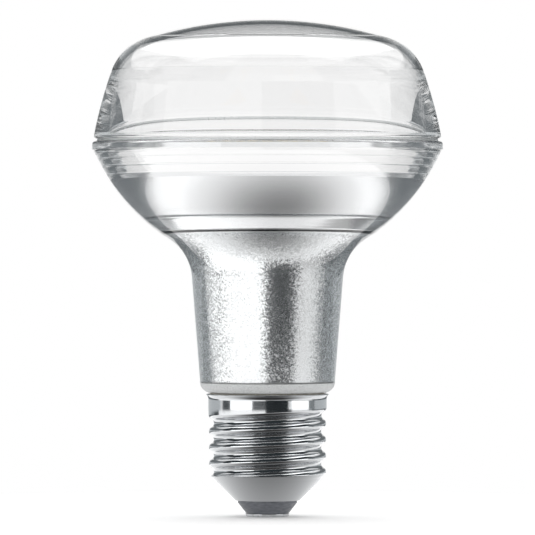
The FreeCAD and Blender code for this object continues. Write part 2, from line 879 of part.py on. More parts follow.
def transformer_core():
    """Ferrite core of two E halves, closed round the winding."""
    x, y = coil_centre()
    half_x = core_size[0] / 2
    half_y = core_size[1] / 2
    top = core_z + core_size[2]
    core = block((-half_x, y - half_y, core_z), (half_x, y + half_y, top))
    windows = []
    for side in (-1, 1):
        near = side * core_leg_width / 2
        far = side * (half_x - core_yoke)
        low = (min(near, far), y - half_y - overshoot, core_z + core_yoke)
        high = (max(near, far), y + half_y + overshoot, top - core_yoke)
        windows.append(block(low, high))
    return core.cut(windows)


def transformer_bobbin():
    """Moulded spool on the core's middle leg, its flanges standing on the board."""
    x, y = coil_centre()
    low = core_z + core_yoke
    high = core_z + core_size[2] - core_yoke
    half = bobbin_flange / 2
    spool = core_leg(bobbin_wall, low, high)
    flanges = []
    for bottom in (low, high - bobbin_wall):
        start = (-half, driver_face, bottom)
        flanges.append(block(start, (half, 2 * y - driver_face, bottom + bobbin_wall)))
    return spool.fuse(flanges).cut(core_leg(0.0, low - overshoot, high + overshoot))


def transformer_winding():
    """Copper winding between the bobbin's flanges."""
    x, y = coil_centre()
    low = core_z + core_yoke + bobbin_wall
    high = core_z + core_size[2] - core_yoke - bobbin_wall
    winding = cylinder(winding_radius, low, high, x, y)
    return winding.cut(core_leg(bobbin_wall, low - overshoot, high + overshoot))


def back_block(size, z, x=0.0):
    """A block on the back of the board: width, height off the board, length up it."""
    half = size[0] / 2
    low = (x - half, driver_back - size[1], z)
    return block(low, (x + half, driver_back, z + size[2]))


def driver_chip():
    """Eight-lead control chip with gull-wing leads."""
    body = back_block(chip_size, chip_z)
    leads = []
    for side in (-1, 1):
        for number in range(chip_leads):
            along = (number - (chip_leads - 1) / 2) * chip_lead_pitch
            z = chip_z + chip_size[2] / 2 + along - chip_lead / 2
            near = side * chip_size[0] / 2
            far = side * (chip_size[0] / 2 + chip_lead_reach)
            low = (min(near, far), driver_back - chip_lead, z)
            leads.append(block(low, (max(near, far), driver_back, z + chip_lead)))
    return body.fuse(leads)


def chip_resistors():
    """Small thick-film resistors in two columns."""
    places = [(side * resistor_column, z) for side in (-1, 1) for z in resistor_rows]
    return Part.Compound([back_block(resistor_size, z, x) for x, z in places])


def contact_wire():
    """Tinned wire from the driver board down into the contact's stem."""
    route = [
        (0, wire_line, driver_bottom_z + wire_pad_length),
        (0, wire_line, driver_bottom_z + wire_radius),
        (0, 0, insulator_top_z + wire_radius),
        (0, 0, contact_thickness + wire_radius),
    ]
    return routed_tube(route, wire_radius)


def shell_wire():
    """Tinned wire from the driver board out through the housing, up to the cap's thread."""
    beside = housing_radius + wire_radius + wire_gap
    bend_z = thread_crest_z - thread_pitch / 2 + wire_gap
    route = [
        (wire_pad_x, wire_line, shell_wire_z),
        (beside, wire_line, shell_wire_z),
        (beside, wire_line, bend_z),
        (thread_major_radius - sheet - wire_radius - wire_gap, wire_line, thread_crest_z),
    ]
    return routed_tube(route, wire_radius)


def save(name, shape):
    shape.exportStep("parts/" + name + ".step")
    print(name, "valid" if shape.isValid() else "NOT VALID", round(shape.Volume, 1))


os.makedirs("parts", exist_ok=True)
save("front_lens", front_lens())
save("lens_seal", lens_seal())
save("glass_body", glass_body())
save("cap_cement", cap_cement())
save("cap_shell", cap_shell())
save("cap_insulator", cap_insulator())
save("centre_contact", centre_contact())
save("heat_spreader", heat_spreader())
save("thermal_pad", thermal_pad())
save("led_board", led_board())
save("led_packages", led_packages())
save("led_phosphor", led_phosphor())
save("board_screws", board_screws())
save("pin_header", pin_header())
save("header_pins", header_pins())
save("driver_housing", driver_housing())
save("driver_board", driver_board())
save("fuse_resistor", fuse_resistor())
save("film_capacitor", film_capacitor())
save("bulk_capacitor", bulk_capacitor())
save("transformer_core", transformer_core())
save("transformer_bobbin", transformer_bobbin())
save("transformer_winding", transformer_winding())
save("bridge_rectifier", back_block(bridge_size, bridge_z))
save("driver_chip", driver_chip())
save("output_diode", back_block(diode_size, diode_z))
save("chip_resistors", chip_resistors())
save("contact_wire", contact_wire())
save("shell_wire", shell_wire())
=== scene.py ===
import math

import bpy
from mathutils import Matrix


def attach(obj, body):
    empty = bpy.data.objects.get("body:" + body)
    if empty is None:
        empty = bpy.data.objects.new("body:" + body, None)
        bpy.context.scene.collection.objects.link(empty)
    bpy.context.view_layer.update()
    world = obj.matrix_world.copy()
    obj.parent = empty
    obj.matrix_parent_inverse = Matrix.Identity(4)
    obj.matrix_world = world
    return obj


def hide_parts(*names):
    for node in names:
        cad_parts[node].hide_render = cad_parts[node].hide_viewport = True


# LED reflector lamp: a clear pressed dome on a mirrored glass bowl and neck, with a nickel screw cap.
# Lengths in this script are millimetres and angles are degrees until they reach Blender.
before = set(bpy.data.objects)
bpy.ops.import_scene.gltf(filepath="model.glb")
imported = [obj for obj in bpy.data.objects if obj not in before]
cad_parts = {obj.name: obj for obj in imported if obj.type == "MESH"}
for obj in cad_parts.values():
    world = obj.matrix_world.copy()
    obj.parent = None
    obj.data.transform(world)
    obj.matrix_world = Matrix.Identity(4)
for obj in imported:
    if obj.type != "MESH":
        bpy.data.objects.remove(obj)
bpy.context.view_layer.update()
scene = bpy.context.scene


# Camera: it stands level with the bowl and far away, so the lamp is seen almost without perspective.
# The photograph's scale in millimetres a pixel comes from the pitch of the cap's thread.
MM = 0.001
photo_side_px = 535
photo_scale = 0.2251
photo_foot_row = 516.5
camera_distance = 1350.0
camera_height = 68.0
sensor_width = 36.0

view_side = photo_side_px * photo_scale
view_middle = (photo_foot_row - photo_side_px / 2) * photo_scale
camera = bpy.data.objects.new("camera", bpy.data.cameras.new("camera"))
scene.collection.objects.link(camera)
camera.location = (0, -camera_distance * MM, camera_height * MM)
camera.rotation_euler = (math.radians(90) + math.atan((view_middle - camera_height) / camera_distance), 0, 0)
camera.data.sensor_width = sensor_width
camera.data.lens = sensor_width * camera_distance / view_side
camera.data.clip_start = 0.05
camera.data.clip_end = 50
scene.camera = camera
scene.view_settings.view_transform = "Standard"

# Light that is caught in the dome's wall leaves it after many reflections.
light_bounces = 48
scene.cycles.max_bounces = light_bounces
scene.cycles.transmission_bounces = light_bounces
scene.cycles.glossy_bounces = light_bounces


# Studio: a white surround, and a disc of white painted board under the lamp that keeps its shadow.
# The surround is dimmer as a light than it looks, so that pale surfaces keep their colour.
surround_light = 0.75
floor_paint = 0.8
floor_glow = 0.2
floor_radius = 120.0
floor_corners = 120


def linear(code):
    """An sRGB hex colour as Blender's linear colour."""
    channels = []
    for start in (1, 3, 5):
        value = int(code[start : start + 2], 16) / 255
        channels.append(value / 12.92 if value <= 0.04045 else ((value + 0.055) / 1.055) ** 2.4)
    return (*channels, 1.0)


def feed(tree, node, **inputs):
    """Fills a node's inputs, by name or number, with values, outputs or whole nodes."""
    for key, value in inputs.items():
        if key[1:].isdigit():
            socket = node.inputs[int(key[1:])]
        else:
            name = key.replace("_", " ")
            socket = next(each for each in node.inputs if each.enabled and each.name == name)
        if isinstance(value, bpy.types.Node):
            value = next(each for each in value.outputs if each.enabled)
        if isinstance(value, bpy.types.NodeSocket):
            tree.links.new(value, socket)
        else:
            socket.default_value = value


def add(tree, kind, settings=None, **inputs):
    """Adds a node with its settings and its inputs."""
    node = tree.nodes.new(kind)
    for key, value in (settings or {}).items():
        setattr(node, key, value)
    feed(tree, node, **inputs)
    return node


def emptied(block):
    """The node tree of a new material or world, without its first nodes."""
    block.use_nodes = True
    block.node_tree.nodes.clear()
    return block.node_tree


def seen_directly(tree):
    """1 for what the camera, a mirror or clear glass sees, and 0 for light that falls on the lamp."""
    rays = add(tree, "ShaderNodeLightPath").outputs
    seen = add(
        tree, "ShaderNodeMath", {"operation": "MAXIMUM"}, _0=rays["Is Camera Ray"], _1=rays["Is Glossy Ray"]
    )
    return add(tree, "ShaderNodeMath", {"operation": "MAXIMUM"}, _0=seen, _1=rays["Is Transmission Ray"])


def around(angle, distance, z):
    """A point round the lamp, its angle counted from the camera's direction to the right."""
    turn = math.radians(angle)
    return (math.sin(turn) * distance, -math.cos(turn) * distance, z)


def staged(name, points, faces, material):
    """A piece of the studio from points in millimetres."""
    mesh = bpy.data.meshes.new(name)
    mesh.from_pydata([[value * MM for value in point] for point in points], [], faces)
    mesh.materials.append(material)
    piece = bpy.data.objects.new(name, mesh)
    scene.collection.objects.link(piece)
    return piece


scene.world = bpy.data.worlds.new("white surround")
tree = emptied(scene.world)
strength = add(tree, "ShaderNodeMapRange", Value=seen_directly(tree), To_Min=surround_light, To_Max=1.0)
glow = add(tree, "ShaderNodeBackground", Color=linear("#ffffff"), Strength=strength)
add(tree, "ShaderNodeOutputWorld", Surface=glow)

# Matt white paint: it takes a soft shadow and is otherwise as white as the surround.
paint = bpy.data.materials.new("matt white floor paint")
tree = emptied(paint)
matt = add(tree, "ShaderNodeBsdfDiffuse", Color=(floor_paint, floor_paint, floor_paint, 1))
lift = add(tree, "ShaderNodeMath", {"operation": "MULTIPLY"}, _0=seen_directly(tree), _1=floor_glow)
glow = add(tree, "ShaderNodeEmission", Color=linear("#ffffff"), Strength=lift)
both = add(tree, "ShaderNodeAddShader", _0=matt, _1=glow)
add(tree, "ShaderNodeOutputMaterial", Surface=both)
floor_rim = [around(360 / floor_corners * number, floor_radius, 0) for number in range(floor_corners)]
staged("floor", floor_rim, [range(floor_corners)], paint)


# Cards: sheets of grey and white board in a wide ring round the lamp, which its mirrored glass and its
# metal show. The camera doesn't see them, and they lay no shadow on the floor.
card_distance = 1800.0
card_step = 3.0
card_foot = -1500.0
card_top = 2200.0
front_card_top = 4000.0
horizon_z = -110.0
side_z = 150.0
upper_z = 230.0
neck_z = 260.0
foot_z = -450.0
high_z = 900.0
backdrop_z = 480.0
backdrop_top = 1700.0
charcoal = "#363c3f"
black_board = "#262a2c"
slate = "#6c7174"
stone = "#7c8082"
# Light that a coating mirrors passes the glass surface twice, and light seen through the dome more often.
mirrored_passes = 2


def card(name, colour, from_angle, to_angle, low, high, strength=1.0, through=True):
    """A curved upright card; without through, what is seen through the clear dome stays white."""
    material = bpy.data.materials.new(name)
    tree = emptied(material)
    surface = add(tree, "ShaderNodeEmission", Color=linear(colour), Strength=strength)
    if not through:
        passes = add(tree, "ShaderNodeLightPath").outputs["Transmission Depth"]
        limit = mirrored_passes + 0.5
        many = add(tree, "ShaderNodeMath", {"operation": "GREATER_THAN"}, _0=passes, _1=limit)
        white = add(tree, "ShaderNodeEmission", Color=linear("#ffffff"), Strength=1.0)
        surface = add(tree, "ShaderNodeMixShader", Fac=many, _1=surface, _2=white)
    add(tree, "ShaderNodeOutputMaterial", Surface=surface)
    steps = max(2, round(abs(to_angle - from_angle) / card_step))
    points = []
    for number in range(steps + 1):
        angle = from_angle + (to_angle - from_angle) * number / steps
        points.append(around(angle, card_distance, low))
        points.append(around(angle, card_distance, high))
    faces = [(2 * n, 2 * n + 2, 2 * n + 3, 2 * n + 1) for n in range(steps)]
    panel = staged(name, points, faces, material)
    panel.visible_camera = False
    panel.visible_shadow = False
    panel.visible_diffuse = False
    return panel


# In front: the dark middle of the collar and the thread, which the mirrored glass doesn't show.
front_card = card("front_card", charcoal, -30, 41, horizon_z, front_card_top)
front_card.visible_transmission = False
# Beside it: the narrow stripes at both sides of the collar.
card("left_card", charcoal, -98, -77, horizon_z, high_z, through=False)
card("right_card", "#8f9496", 87, 104, horizon_z, high_z)
# Low in front: the dark band of the neck, between its bright left and its softer right.
card("front_low_card", black_board, -4, 48, card_foot, neck_z, through=False)
card("left_low_card", "#ffffff", -110, -4, card_foot, horizon_z, strength=1.5)
card("right_low_card", "#ffffff", 48, 98, foot_z, horizon_z, strength=0.9)
card("right_foot_card", "#a0a0a0", 48, 98, card_foot, foot_z)
# Low at the sides and behind: the neck's and the bowl's grey edges.
card("left_edge_card", charcoal, -127, -110, card_foot, horizon_z)
card("right_edge_card", charcoal, 98, 127, card_foot, horizon_z)
card("left_back_card", slate, -168, -127, card_foot, horizon_z)
card("right_back_card", slate, 127, 168, card_foot, horizon_z)
# High at the sides: the soft grey that falls off towards the dome's and the bowl's outlines.
card("left_side_card", "#d0d4d6", -168, -104, horizon_z, side_z)
card("right_side_card", "#d0d4d6", 104, 168, horizon_z, side_z)
card("left_high_card", stone, -170, -104, side_z, high_z)
card("right_high_card", stone, 104, 170, side_z, high_z)
card("left_upper_card", charcoal, -104, -30, upper_z, card_top, through=False)
card("right_upper_card", charcoal, 41, 104, upper_z, card_top, through=False)
# Behind: the white seen through the dome, and the grey line along the dome's top.
card("backdrop_card", "#fafafa", -192, -168, card_foot, backdrop_z)
card("backdrop_high_card", "#5c6062", -200, -160, backdrop_z, backdrop_top, through=False)


# Painted shade: two discs on the floor before the lamp, which glow darkest in their middle and stand for the
# floor's shadow under the lamp. The mirrored glass shows the wide one in its lower half, and the bare metal
# of the cap shows the near one.
shade_disc_corners = 72
shade_disc_height = 0.5


def painted_floor_shade(name, centre, radius, core, dark):
    """A disc of painted shade that is dark within its core and fades to white at its rim."""
    material = bpy.data.materials.new(name)
    tree = emptied(material)
    place = add(tree, "ShaderNodeTexCoord").outputs["Object"]
    from_middle = add(tree, "ShaderNodeVectorMath", {"operation": "LENGTH"}, _0=place)
    fade = {"From_Min": core * MM, "From_Max": radius * MM, "To_Min": dark, "To_Max": 1.0}
    fall = add(tree, "ShaderNodeMapRange", {"interpolation_type": "SMOOTHSTEP"}, Value=from_middle, **fade)
    glow = add(tree, "ShaderNodeEmission", Color=linear("#ffffff"), Strength=fall)
    add(tree, "ShaderNodeOutputMaterial", Surface=glow)
    rim = [around(360 / shade_disc_corners * number, radius, 0) for number in range(shade_disc_corners)]
    shade_disc = staged(name, rim, [range(shade_disc_corners)], material)
    shade_disc.location = (centre[0] * MM, centre[1] * MM, shade_disc_height * MM)
    shade_disc.visible_camera = False
    shade_disc.visible_shadow = False
    shade_disc.visible_diffuse = False
    return shade_disc


# Painted shade: the lamp's shadow on the floor, as the mirrored glass and the cap's metal show it.
glass_floor_shade = painted_floor_shade("glass_floor_shade", centre=(9, -24), radius=78, core=4, dark=0.24)
glass_floor_shade.visible_glossy = False
metal_floor_shade = painted_floor_shade("metal_floor_shade", centre=(3, -48), radius=65, core=20, dark=0.05)
metal_floor_shade.visible_transmission = False


# Soft lamps: two upright boxes at the sides, which show as the white patches of the metal, and a
# large one overhead that lays the soft shadow on the floor.
lamp_distance = 900.0
side_lamp_height = 150.0
side_lamp_z = 55.0
top_lamp_side = 1500.0
top_lamp_place = (0, 450.0, lamp_distance)


def soft_lamp(name, width, height, radiance, place, tilt=0.0, turn=0.0):
    """A flat rectangular lamp that shines down, or to the side once it is tilted and turned."""
    light = bpy.data.lights.new(name, "AREA")
    light.shape = "RECTANGLE"
    light.size = width * MM
    light.size_y = height * MM
    light.energy = radiance * math.pi * light.size * light.size_y
    box = bpy.data.objects.new(name, light)
    scene.collection.objects.link(box)
    box.location = [value * MM for value in place]
    box.rotation_euler = (math.radians(tilt), 0, math.radians(turn))
    box.visible_transmission = False


def side_lamp(name, angle, half_angle, radiance):
    """An upright lamp that faces the axis and covers an angle to both sides of its own."""
    width = 2 * lamp_distance * math.tan(math.radians(half_angle))
    place = around(angle, lamp_distance, side_lamp_z)
    soft_lamp(name, width, side_lamp_height, radiance, place, tilt=90, turn=angle)


side_lamp("left_lamp", angle=-53.5, half_angle=23.5, radiance=1.6)
side_lamp("right_lamp", angle=64, half_angle=23, radiance=1.4)
soft_lamp("top_lamp", top_lamp_side, top_lamp_side, radiance=1.6, place=top_lamp_place)


# Dome: soda-lime glass pressed in a mould, with a low crown, a round shoulder and a leaning side.
# Its wall thickens to the foot, which sits in a bead of silicone on the bowl's rim.
overall_length = 112.0
crown_radius = 93.2
shoulder_radius = 12.4
side_radius = 100.0
side_lean = 10.9
lens_foot_radius = 39.1
lens_foot_z = 85.0
foot_rounding = 0.7
crown_thickness = 1.2
inner_crown_radius = 92.0
inner_shoulder_radius = 11.8
lens_bore_radius = 35.9
lens_draft = 4.5
bore_rounding = 0.4
seam_depth = 0.02
seam_turn = 1.2
fine_step = 0.5
crown_step = 1.2
wall_step = 0.3
turn_count = 256
dome_turn_count = 400
on_axis = 1e-6


def unit(angle):
    """The direction at an angle above +r in the (r, z) half plane."""
    return (math.cos(math.radians(angle)), math.sin(math.radians(angle)))


def moved(point, direction, distance):
    """A point moved along a direction."""
    return (point[0] + direction[0] * distance, point[1] + direction[1] * distance)


def towards(start, end, distance):
    """The point at a distance from the start, in the direction of the end."""
    share = distance / math.dist(start, end)
    return (start[0] + (end[0] - start[0]) * share, start[1] + (end[1] - start[1]) * share)


def circle_meet(centre_a, radius_a, centre_b, radius_b):
    """Where two circles meet, the point with the larger r."""
    gap = math.dist(centre_a, centre_b)
    along = (radius_a**2 - radius_b**2 + gap**2) / (2 * gap)
    aside = math.sqrt(radius_a**2 - along**2)
    foot = towards(centre_a, centre_b, along)
    side = ((centre_b[1] - centre_a[1]) / gap, -(centre_b[0] - centre_a[0]) / gap)
    return max(moved(foot, side, aside), moved(foot, side, -aside))


def line_meet(point, direction, centre, radius, far):
    """Where a line meets a circle: the far or the near point in the line's own direction."""
    to_point = (point[0] - centre[0], point[1] - centre[1])
    along = to_point[0] * direction[0] + to_point[1] * direction[1]
    root = math.sqrt(along**2 - (to_point[0] ** 2 + to_point[1] ** 2 - radius**2))
    return moved(point, direction, -along + (root if far else -root))


class Outline:
    """An outline in the (r, z) half plane, kept as closely spaced points."""

    def __init__(self, r, z, step=fine_step):
        self.points = [(r, z)]
        self.step = step

    def line(self, r, z):
        """A straight line to the point (r, z)."""
        start = self.points[-1]
        count = max(3, math.ceil(math.dist(start, (r, z)) / self.step))
        for number in range(1, count + 1):
            share = number / count
            self.points.append((start[0] + (r - start[0]) * share, start[1] + (z - start[1]) * share))

    def arc(self, centre, r, z):
        """The shorter arc about a centre, to the point (r, z)."""
        start = self.points[-1]
        radius = math.dist(centre, start)
        first = math.atan2(start[1] - centre[1], start[0] - centre[0])
        last = math.atan2(z - centre[1], r - centre[0])
        sweep = (last - first + math.pi) % (2 * math.pi) - math.pi
        count = max(6, math.ceil(abs(sweep) * radius / self.step))
        for number in range(1, count + 1):
            angle = first + sweep * number / count
            self.points.append((centre[0] + radius * math.cos(angle), centre[1] + radius * math.sin(angle)))


def lathe(name, points, count=turn_count):
    """The smooth closed surface that an outline sweeps round the axis."""
    places = []
    rings = []
    for r, z in points:
        if r < on_axis:
            rings.append([len(places)] * count)
            places.append((0, 0, z * MM))
            continue
        rings.append(range(len(places), len(places) + count))
        for number in range(count):
            turn = 2 * math.pi * number / count
            places.append((r * math.cos(turn) * MM, r * math.sin(turn) * MM, z * MM))
    pairs = list(zip(rings, rings[1:]))
    if points[0][0] > on_axis:
        pairs.append((rings[-1], rings[0]))
    faces = []
    for below, above in pairs:
        for number in range(count):
            after = (number + 1) % count
            corners = []
            for corner in (below[number], below[after], above[after], above[number]):
                if corner not in corners:
                    corners.append(corner)
            faces.append(corners)
    mesh = bpy.data.meshes.new(name)
    mesh.from_pydata(places, [], faces)
    mesh.polygons.foreach_set("use_smooth", [True] * len(faces))
    mesh.update()
    piece = bpy.data.objects.new(name, mesh)
    scene.collection.objects.link(piece)
    return piece


def finish(name, colour, **inputs):
    """A material for one real finish, with a single shader that patterns are fed to."""
    material = bpy.data.materials.new(name)
    material.use_nodes = True
    material.diffuse_color = linear(colour)
    shader = material.node_tree.nodes["Principled BSDF"]
    feed(material.node_tree, shader, Base_Color=linear(colour), **inputs)
    return material


lean = unit(side_lean)
foot_edge = (lens_foot_radius, lens_foot_z + foot_rounding * (1 + lean[1]))
foot_centre = moved(foot_edge, lean, -foot_rounding)
side_centre = moved(foot_edge, lean, -side_radius)
crown_centre = (0, overall_length - crown_radius)
shoulder = circle_meet(
    crown_centre, crown_radius - shoulder_radius, side_centre, side_radius - shoulder_radius
)
inner_apex_z = overall_length - crown_thickness
inner_centre = (0, inner_apex_z - inner_crown_radius)
bore_foot = (lens_bore_radius, lens_foot_z + bore_rounding)
bore_inward = unit(180 + lens_draft)
inner_shoulder = line_meet(
    moved(bore_foot, bore_inward, inner_shoulder_radius),
    unit(90 + lens_draft),
    inner_centre,
    inner_crown_radius - inner_shoulder_radius,
    far=True,
)
bore_corner = moved(bore_foot, bore_inward, -bore_rounding)

outline = Outline(0, inner_apex_z, crown_step)
outline.arc(inner_centre, *towards(inner_centre, inner_shoulder, inner_crown_radius))
outline.step = wall_step
outline.arc(inner_shoulder, *moved(inner_shoulder, bore_inward, -inner_shoulder_radius))
outline.line(*bore_foot)
outline.arc((bore_corner[0], lens_foot_z + bore_rounding), bore_corner[0], lens_foot_z)
outline.line(foot_centre[0], lens_foot_z)
outline.arc(foot_centre, *foot_edge)
seam = towards(side_centre, shoulder, side_radius)
seam_angle = math.degrees(math.atan2(seam[1] - shoulder[1], seam[0] - shoulder[0]))
outline.arc(side_centre, *seam)
# The two halves of the mould leave a fine seam where the side meets the shoulder.
outline.points.append(moved(shoulder, unit(seam_angle + seam_turn / 2), shoulder_radius - seam_depth))
outline.points.append(moved(shoulder, unit(seam_angle + seam_turn), shoulder_radius))
outline.arc(shoulder, *towards(crown_centre, shoulder, crown_radius))
outline.step = crown_step
outline.arc(crown_centre, 0, overall_length)
dome = lathe("dome_glass", outline.points, dome_turn_count)

# Pressed clear glass: fire-polished and so without any grain. The eye sees thin dark and bright lines
# where its thick foot and its edges bend the view, and white through the rest.
clear_glass = finish("pressed clear glass", "#ffffff", Roughness=0.0, IOR=1.5, Transmission_Weight=1.0)
dome.data.materials.append(clear_glass)
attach(dome, "root")
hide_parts("front_lens")


# Bowl, neck and stub: one pressing of the same glass, coated inside with evaporated aluminium. The
# rim above the coating is turned clean and stays clear, and the stub's heel is frosted by blasting.
seal_gap = 0.5
flange_radius = 39.5
flange_height = 1.95
flange_rounding = 0.7
flange_step = 0.3
flange_edge_rounding = 0.2
bowl_radius = 44.0
bowl_lean = 22.95
bowl_wall = 2.5
neck_base = (15.25, 31.0)
neck_taper = 4.5
neck_wall = 1.7
neck_fillet = 11.3
inner_fillet = 13.4
heel_z = 27.9
heel_rounding = 2.4
stub_radius = 12.15
stub_wall = 1.2
stub_end_z = 23.75
edge_rounding = 0.3
seat_z = 65.4
ring_radius = 23.6
ring_height = 3.4
ring_flare = 2.0
step_rounding = 0.35
mirror_top_z = 77.0
groove_heights = (82.6, 81.4, 79.8, 78.0)
groove_half = 0.12
groove_depth = 0.03
grain_end_z = 30.5
step_edge_step = 0.05
flange_edge_step = 0.1

land_z = lens_foot_z - seal_gap
ring_top_z = seat_z + ring_height
bowl_top = (flange_radius - flange_step, land_z - flange_height)
bowl_centre = moved(bowl_top, unit(-bowl_lean), -bowl_radius)
neck_rise = unit(90 - neck_taper)
neck_out = unit(-neck_taper)
fillet_rail = moved(neck_base, neck_out, neck_fillet)
fillet = line_meet(fillet_rail, neck_rise, bowl_centre, bowl_radius + neck_fillet, far=False)
heel_rail = moved(neck_base, neck_out, -heel_rounding)
heel_centre = moved(heel_rail, neck_rise, (heel_z + heel_rounding - heel_rail[1]) / neck_rise[1])
inner_bowl_radius = bowl_radius - bowl_wall
inner_base = moved(neck_base, neck_out, -neck_wall)
inner_fillet_rail = moved(inner_base, neck_out, inner_fillet)
inner_fillet_centre = line_meet(
    inner_fillet_rail, neck_rise, bowl_centre, inner_bowl_radius + inner_fillet, far=False
)
inner_heel_z = heel_z + neck_wall
inner_heel_rail = moved(inner_base, neck_out, -edge_rounding)
inner_heel_rise = (inner_heel_z + edge_rounding - inner_heel_rail[1]) / neck_rise[1]
inner_heel = moved(inner_heel_rail, neck_rise, inner_heel_rise)
stub_bore = stub_radius - stub_wall
stub_inner_edge = (stub_bore + edge_rounding, stub_end_z + edge_rounding)
stub_outer_edge = (stub_radius - edge_rounding, stub_end_z + edge_rounding)
flange_edge = (flange_radius - flange_edge_rounding, bowl_top[1] + flange_edge_rounding)
land_edge = (flange_radius - flange_rounding, land_z - flange_rounding)


def bowl_bore(z):
    """Inner radius of the bowl at a height."""
    return bowl_centre[0] + math.sqrt(inner_bowl_radius**2 - (z - bowl_centre[1]) ** 2)


# Outside, from the stub's end over the heel and up the neck and the bowl to the flange.
outline = Outline(stub_bore, stub_inner_edge[1])
outline.arc(stub_inner_edge, stub_inner_edge[0], stub_end_z)
outline.line(stub_outer_edge[0], stub_end_z)
outline.arc(stub_outer_edge, stub_radius, stub_outer_edge[1])
outline.line(stub_radius, heel_z)
outline.line(heel_centre[0], heel_z)
outline.arc(heel_centre, *moved(heel_centre, neck_out, heel_rounding))
heel_end = len(outline.points)
outline.line(*moved(fillet, neck_out, -neck_fillet))
outline.arc(fillet, *towards(bowl_centre, fillet, bowl_radius))
outline.arc(bowl_centre, *bowl_top)
outline.step = step_edge_step
outline.line(flange_edge[0], bowl_top[1])
outline.arc(flange_edge, flange_radius, flange_edge[1])
outline.step = flange_edge_step
outline.line(flange_radius, land_edge[1])
outline.arc(land_edge, land_edge[0], land_z)
outline.step = fine_step
outline.line(bowl_bore(land_z), land_z)
# Inside, down the clear rim with its turned grooves, and over the two steps of the mirrored bowl.
for groove_z in groove_heights:
    outline.arc(bowl_centre, bowl_bore(groove_z + groove_half), groove_z + groove_half)
    outline.points.append((bowl_bore(groove_z) + groove_depth, groove_z))
    outline.points.append((bowl_bore(groove_z - groove_half), groove_z - groove_half))
outline.arc(bowl_centre, bowl_bore(mirror_top_z), mirror_top_z)
mirror_start = len(outline.points)
outline.arc(bowl_centre, bowl_bore(ring_top_z), ring_top_z)
outline.line(ring_radius + ring_flare + step_rounding, ring_top_z)
outline.line(ring_radius + ring_flare, ring_top_z - step_rounding)
outline.line(ring_radius, seat_z)
ledge_start = len(outline.points)
outline.line(bowl_bore(seat_z), seat_z)
ledge_end = len(outline.points)
outline.arc(bowl_centre, *towards(bowl_centre, inner_fillet_centre, inner_bowl_radius))
# The neck's wall is grained from the bowl down to the heel.
grain_start = len(outline.points)
outline.arc(inner_fillet_centre, *moved(inner_fillet_centre, neck_out, -inner_fillet))
outline.line(*moved(inner_base, neck_rise, (grain_end_z - inner_base[1]) / neck_rise[1]))
grain_end = len(outline.points)
outline.line(*moved(inner_heel, neck_out, edge_rounding))
outline.arc(inner_heel, inner_heel[0], inner_heel_z)
outline.line(stub_bore + edge_rounding, inner_heel_z)
outline.line(stub_bore, inner_heel_z - edge_rounding)
bowl = lathe("bowl_and_neck_glass", outline.points)

# Evaporated aluminium on smooth glass: a bright mirror that the turning marks of the mould draw out
# into soft streaks round the axis. The real marks are about 0.1 mm wide and are drawn wider to show.
evaporated_mirror = finish("evaporated aluminium mirror", "#f0f1f2", Metallic=1.0, Roughness=0.18)
streak_width = 0.5
streak_depth = 0.004
tree = evaporated_mirror.node_tree
place = add(tree, "ShaderNodeTexCoord").outputs["Object"]
height = add(tree, "ShaderNodeSeparateXYZ", Vector=place).outputs["Z"]
streak_noise = {"W": height, "Scale": 1 / (streak_width * MM), "Detail": 3.0}
streaks = add(tree, "ShaderNodeTexNoise", {"noise_dimensions": "1D"}, **streak_noise)
bump = add(tree, "ShaderNodeBump", Distance=streak_depth * MM, Height=streaks)
feed(tree, tree.nodes["Principled BSDF"], Normal=bump)

# The same mirror on a grained wall: each grain leans its own way and shows another part of the room,
# so the neck sparkles in light and dark greys. The grain of about 0.1 mm is drawn coarser to show.
grained_mirror = finish("grained aluminium mirror", "#eceeef", Metallic=1.0, Roughness=0.2)
grain_size = 0.28
grain_tilt = 0.11
tree = grained_mirror.node_tree
place = add(tree, "ShaderNodeTexCoord").outputs["Object"]
grains = add(tree, "ShaderNodeTexVoronoi", Vector=place, Scale=1 / (grain_size * MM)).outputs["Color"]
centred = add(tree, "ShaderNodeVectorMath", {"operation": "SUBTRACT"}, _0=grains, _1=(0.5, 0.5, 0.5))
tilt = add(tree, "ShaderNodeVectorMath", {"operation": "SCALE"}, _0=centred, Scale=grain_tilt)
facing = add(tree, "ShaderNodeNewGeometry").outputs["Normal"]
leant = add(tree, "ShaderNodeVectorMath", {"operation": "ADD"}, _0=facing, _1=tilt)
facet = add(tree, "ShaderNodeVectorMath", {"operation": "NORMALIZE"}, _0=leant)
feed(tree, tree.nodes["Principled BSDF"], Normal=facet)

# Blasted glass: the heel scatters light, so it looks milky and speckled where the rest is clear.
frosted_glass = finish("frosted glass heel", "#f6f8f8", Roughness=0.5, IOR=1.5, Transmission_Weight=0.25)
speckle_dark = 0.7
tree = frosted_glass.node_tree
place = add(tree, "ShaderNodeTexCoord").outputs["Object"]
pits = add(tree, "ShaderNodeTexVoronoi", Vector=place, Scale=1 / (grain_size * MM))
shade = add(tree, "ShaderNodeMapRange", Value=pits, From_Max=1.0, To_Min=1.0, To_Max=speckle_dark)
speckle = add(tree, "ShaderNodeVectorMath", {"operation": "SCALE"}, _0=linear("#f6f8f8")[:3], Scale=shade)
feed(tree, tree.nodes["Principled BSDF"], Base_Color=speckle)

# Each ring of faces takes its coat from its place on the outline. The heel, the stub and the ledge
# at the bowl's lower step are frosted.
coats = [clear_glass, evaporated_mirror, grained_mirror, frosted_glass]
for coat in coats:
    bowl.data.materials.append(coat)
for face in bowl.data.polygons:
    row = face.index // turn_count + 1
    coat = clear_glass
    if row < heel_end or row >= grain_end or ledge_start <= row < ledge_end:
        coat = frosted_glass
    elif row >= grain_start:
        coat = grained_mirror
    elif row >= mirror_start:
        coat = evaporated_mirror
    face.material_index = coats.index(coat)
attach(bowl, "root")
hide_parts("glass_body")


